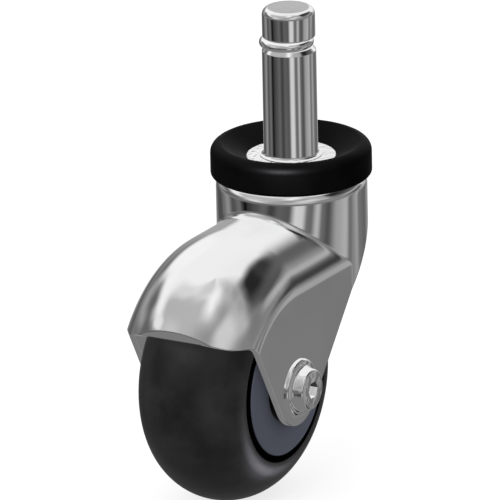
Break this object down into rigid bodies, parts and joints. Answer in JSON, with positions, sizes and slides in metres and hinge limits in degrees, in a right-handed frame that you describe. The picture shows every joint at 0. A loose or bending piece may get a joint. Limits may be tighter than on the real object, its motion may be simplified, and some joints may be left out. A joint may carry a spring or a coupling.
{
  "type": "chair castor",
  "caption": "Chair castor with a plain friction stem, ball-race swivel, drawn metal hood and a soft round-tread wheel on a screwed axle.",
  "frame": {"origin": "on the swivel axis, at the seat face of the washer that meets the chair's leg", "axes": "+Z along the swivel axis, up the stem; the wheel trails towards -X and its axle lies along Y"},
  "size_m": [0.0669, 0.0374, 0.0973],
  "materials": {
    "chrome_stem": "bright chrome plate",
    "spring_wire": "bright plated wire",
    "zinc_washer": "pale bright zinc",
    "race_steel": "pressed steel",
    "chrome_hood": "bright chrome plate",
    "black_rubber": "satin black",
    "ball_steel": "polished ball",
    "chrome_axle": "bright plate",
    "core_plastic": "satin blue-grey",
    "soft_tyre": "satin dark grey",
    "bush_nylon": "satin black"
  },
  "bodies": {
    "stem_body": {"stem": "chrome_stem", "grip_ring": "spring_wire", "top_washer": "zinc_washer", "upper_stem_race": "race_steel", "lower_stem_race": "race_steel", "retaining_washer": "race_steel"},
    "hood_body": {"hood": "chrome_hood", "dust_ring": "black_rubber", "upper_hood_race": "race_steel", "lower_hood_race": "race_steel", "upper_balls": "ball_steel", "lower_balls": "ball_steel", "axle_screw": "chrome_axle", "axle_barrel": "chrome_axle"},
    "wheel_body": {"wheel_core": "core_plastic", "tyre": "soft_tyre", "hub_bush_left": "bush_nylon", "hub_bush_right": "bush_nylon"}
  },
  "joints": [
    {"name": "swivel", "type": "hinge", "parent": "stem_body", "child": "hood_body", "pos_m": [0, 0, 0], "axis": [0, 0, 1], "continuous": true},
    {"name": "wheel_spin", "type": "hinge", "parent": "hood_body", "child": "wheel_body", "pos_m": [-0.025, 0, -0.0404], "axis": [0, 1, 0], "continuous": true}
  ]
}
